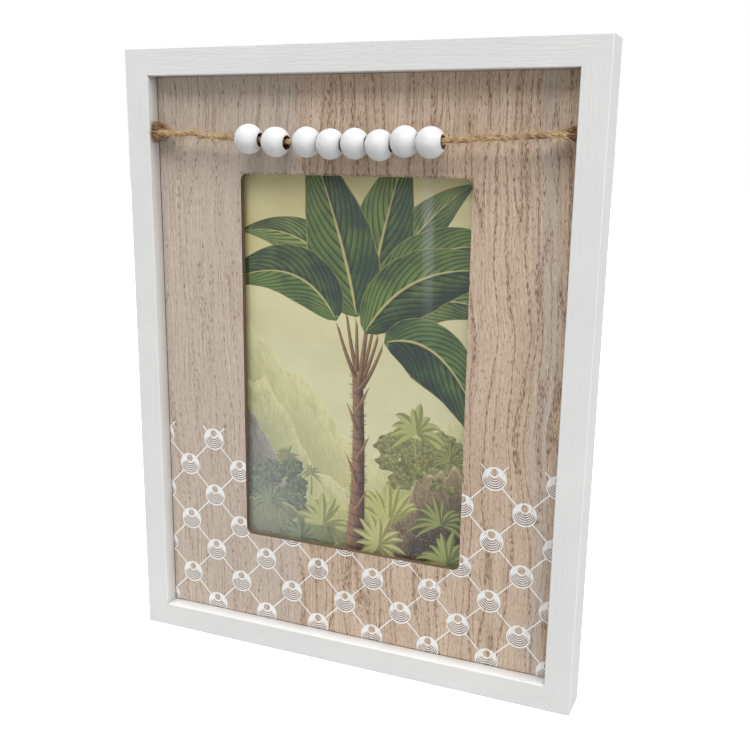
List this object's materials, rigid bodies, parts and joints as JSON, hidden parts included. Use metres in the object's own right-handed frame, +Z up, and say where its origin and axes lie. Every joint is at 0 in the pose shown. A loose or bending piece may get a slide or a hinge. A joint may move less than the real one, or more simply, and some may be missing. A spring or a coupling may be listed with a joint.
{
  "type": "photo frame",
  "caption": "Shallow white box frame with a set-back wood panel, a window for a portrait print, and beads on a cord across the top.",
  "frame": {"origin": "middle of the frame's bottom edge, half way through the depth of the rails", "axes": "+X to the right as seen from the front, +Y from the front to the back, +Z up"},
  "size_m": [0.187, 0.0242, 0.24],
  "materials": {
    "white_paint": "satin white paint over wood, fine brush and grain relief",
    "bead_paint": "matt white paint, raw wood at the bore",
    "veneer": "matt vertical-grain veneer with a white printed lattice",
    "glass": "clear polished",
    "print_paper": "satin printed paper",
    "grey_card": "raw grey board",
    "fibreboard": "smooth brown fibreboard",
    "jute": "twisted raw fibre, hairy",
    "hard_glue": "hard brown glue",
    "zinc": "zinc-plated sheet",
    "bright_steel": "bright plated"
  },
  "bodies": {
    "root": {"rail_top": "white_paint", "rail_bottom": "white_paint", "rail_left": "white_paint", "rail_right": "white_paint", "front_panel": "veneer", "glass_pane": "glass", "picture_print": "print_paper", "spacer_board": "grey_card", "backing_board": "fibreboard", "jute_cord": "jute", "glue_spot_left": "hard_glue", "glue_spot_right": "hard_glue", "hinge_fixed_leaf": "zinc", "sawtooth_hanger": "zinc", "v_nail_bottom_left": "zinc", "v_nail_bottom_right": "zinc", "v_nail_top_left": "zinc", "v_nail_top_right": "zinc", "button_screw_1": "bright_steel", "button_screw_2": "bright_steel", "button_screw_3": "bright_steel", "button_screw_4": "bright_steel", "hinge_pin": "bright_steel", "board_rivet_left": "bright_steel", "board_rivet_right": "bright_steel", "hanger_nail_left": "bright_steel", "hanger_nail_right": "bright_steel"},
    "strut": {"strut_leg": "fibreboard", "hinge_moving_leaf": "zinc", "strut_rivet_upper": "bright_steel", "strut_rivet_lower": "bright_steel"},
    "turn_button_1": {"turn_button_1": "zinc"},
    "turn_button_2": {"turn_button_2": "zinc"},
    "turn_button_3": {"turn_button_3": "zinc"},
    "turn_button_4": {"turn_button_4": "zinc"},
    "bead_1": {"bead_1": "bead_paint"},
    "bead_2": {"bead_2": "bead_paint"},
    "bead_3": {"bead_3": "bead_paint"},
    "bead_4": {"bead_4": "bead_paint"},
    "bead_5": {"bead_5": "bead_paint"},
    "bead_6": {"bead_6": "bead_paint"},
    "bead_7": {"bead_7": "bead_paint"},
    "bead_8": {"bead_8": "bead_paint"}
  },
  "joints": [
    {"name": "strut_hinge", "type": "hinge", "parent": "root", "child": "strut", "pos_m": [0, 0.00915, 0.168], "axis": [1, 0, 0], "range_deg": [0, 25]},
    {"name": "button_1_turn", "type": "hinge", "parent": "root", "child": "turn_button_1", "pos_m": [-0.0904, 0.0082, 0.062], "axis": [0, -1, 0], "continuous": true},
    {"name": "button_2_turn", "type": "hinge", "parent": "root", "child": "turn_button_2", "pos_m": [-0.0904, 0.0082, 0.178], "axis": [0, -1, 0], "continuous": true},
    {"name": "button_3_turn", "type": "hinge", "parent": "root", "child": "turn_button_3", "pos_m": [0.0904, 0.0082, 0.062], "axis": [0, 1, 0], "continuous": true},
    {"name": "button_4_turn", "type": "hinge", "parent": "root", "child": "turn_button_4", "pos_m": [0.0904, 0.0082, 0.178], "axis": [0, 1, 0], "continuous": true},
    {"name": "bead_4_slide", "type": "slide", "parent": "root", "child": "bead_4", "axis": [1, 0, 0], "range_m": [-0.006, 0.006]},
    {"name": "bead_3_slide", "type": "slide", "parent": "bead_4", "child": "bead_3", "axis": [0.999, 0, -0.045], "range_m": [-0.008, 0]},
    {"name": "bead_2_slide", "type": "slide", "parent": "bead_3", "child": "bead_2", "axis": [0.9985, 0, -0.0545], "range_m": [-0.008, 0.0028]},
    {"name": "bead_1_slide", "type": "slide", "parent": "bead_2", "child": "bead_1", "axis": [0.9985, 0, -0.0545], "range_m": [-0.008, 0.0012]},
    {"name": "bead_5_slide", "type": "slide", "parent": "bead_4", "child": "bead_5", "axis": [0.9996, 0, 0.03], "range_m": [0, 0.0078]},
    {"name": "bead_6_slide", "type": "slide", "parent": "bead_5", "child": "bead_6", "axis": [0.9985, 0, 0.0545], "range_m": [0, 0.0078]},
    {"name": "bead_7_slide", "type": "slide", "parent": "bead_6", "child": "bead_7", "axis": [0.9985, 0, 0.0545], "range_m": [0, 0.0078]},
    {"name": "bead_8_slide", "type": "slide", "parent": "bead_7", "child": "bead_8", "axis": [0.9985, 0, 0.0545], "range_m": [0, 0.0078]}
  ]
}
